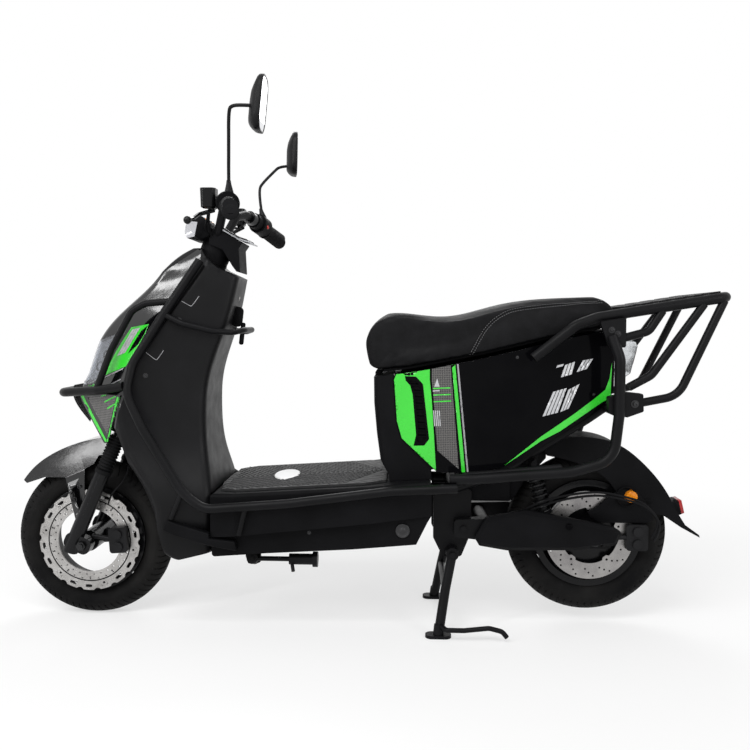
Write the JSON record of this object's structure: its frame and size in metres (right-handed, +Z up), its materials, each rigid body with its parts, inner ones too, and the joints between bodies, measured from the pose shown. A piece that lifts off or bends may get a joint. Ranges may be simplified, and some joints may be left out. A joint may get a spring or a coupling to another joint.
{
  "type": "electric delivery motorcycle",
  "caption": "Step-through electric delivery motorcycle on its centre stand, with tubular crash guards, slatted rear rack, mirrors, long seat, disc brakes and hub motor.",
  "frame": {"origin": "Centre of the overall length and width, on the floor the front tyre and the centre stand rest on.", "axes": "+X is forward, +Y is the rider's left, +Z is up."},
  "size_m": [1.7949, 0.6884, 1.318],
  "materials": {
    "black_frame": "satin black powder coat",
    "gloss_black": "gloss black moulded panels",
    "matte_black": "fine-grained matte black plastic",
    "seat_cover": "matte black leatherette",
    "black_rubber": "black rubber",
    "tyre": "black tyre rubber",
    "black_alloy": "gloss black painted alloy",
    "steel": "brushed steel",
    "disc_steel": "ground steel brake disc",
    "dark_metal": "dark cast alloy",
    "clear_lens": "clear lens",
    "amber_lens": "amber lens"
  },
  "bodies": {
    "frame": {"main_frame": "black_frame", "swingarm": "black_frame", "swingarm_cover": "matte_black", "rear_shocks": "dark_metal", "rear_axle": "steel", "rear_caliper": "dark_metal", "rear_fender": "matte_black", "rear_indicators": "amber_lens", "tail_light": "clear_lens", "seat_box": "matte_black", "seat_column": "matte_black", "side_panels": "gloss_black", "floorboard": "matte_black", "floor_mat": "black_rubber", "belly_cover": "matte_black", "battery": "matte_black", "leg_shield": "matte_black", "front_cowl": "matte_black", "nose_panels": "gloss_black", "headlight_lens": "clear_lens", "front_guards": "black_frame", "nose_guard": "black_frame", "rear_guards": "black_frame", "rear_rack": "black_frame"},
    "steering": {"fork": "dark_metal", "fork_gaiters": "black_rubber", "front_fender": "gloss_black", "front_caliper": "dark_metal", "front_axle": "steel", "handlebar": "black_frame", "grips": "black_rubber", "switch_housings": "matte_black", "brake_levers": "black_alloy", "mirrors": "matte_black", "instrument_panel": "matte_black", "headlamp": "clear_lens"},
    "front_wheel": {"front_tyre": "tyre", "front_rim": "black_alloy", "front_brake_disc": "disc_steel"},
    "rear_wheel": {"rear_tyre": "tyre", "rear_rim": "black_alloy", "rear_brake_disc": "disc_steel"},
    "centre_stand_leg": {"centre_stand": "black_frame"},
    "side_stand_leg": {"side_stand": "black_frame"},
    "seat_lid": {"seat": "seat_cover", "seat_base": "matte_black"}
  },
  "joints": [
    {"name": "steering_turn", "type": "hinge", "parent": "frame", "child": "steering", "pos_m": [0.6925, 0, 0.205], "axis": [-0.3987, 0, 0.9171], "range_deg": [-38, 38]},
    {"name": "front_wheel_spin", "type": "hinge", "parent": "steering", "child": "front_wheel", "pos_m": [0.6925, 0, 0.205], "axis": [0, 1, 0], "continuous": true},
    {"name": "rear_wheel_spin", "type": "hinge", "parent": "frame", "child": "rear_wheel", "pos_m": [-0.5935, 0, 0.236], "axis": [0, 1, 0], "continuous": true},
    {"name": "centre_stand_fold", "type": "hinge", "parent": "frame", "child": "centre_stand_leg", "pos_m": [-0.2445, 0, 0.197], "axis": [0, 1, 0], "range_deg": [0, 78]},
    {"name": "side_stand_fold", "type": "hinge", "parent": "frame", "child": "side_stand_leg", "pos_m": [0.2525, 0.1244, 0.185], "axis": [0, -0.9511, -0.309], "range_deg": [0, 100]},
    {"name": "seat_open", "type": "hinge", "parent": "frame", "child": "seat_lid", "pos_m": [-0.0555, 0, 0.645], "axis": [0, 1, 0], "range_deg": [0, 60]}
  ]
}
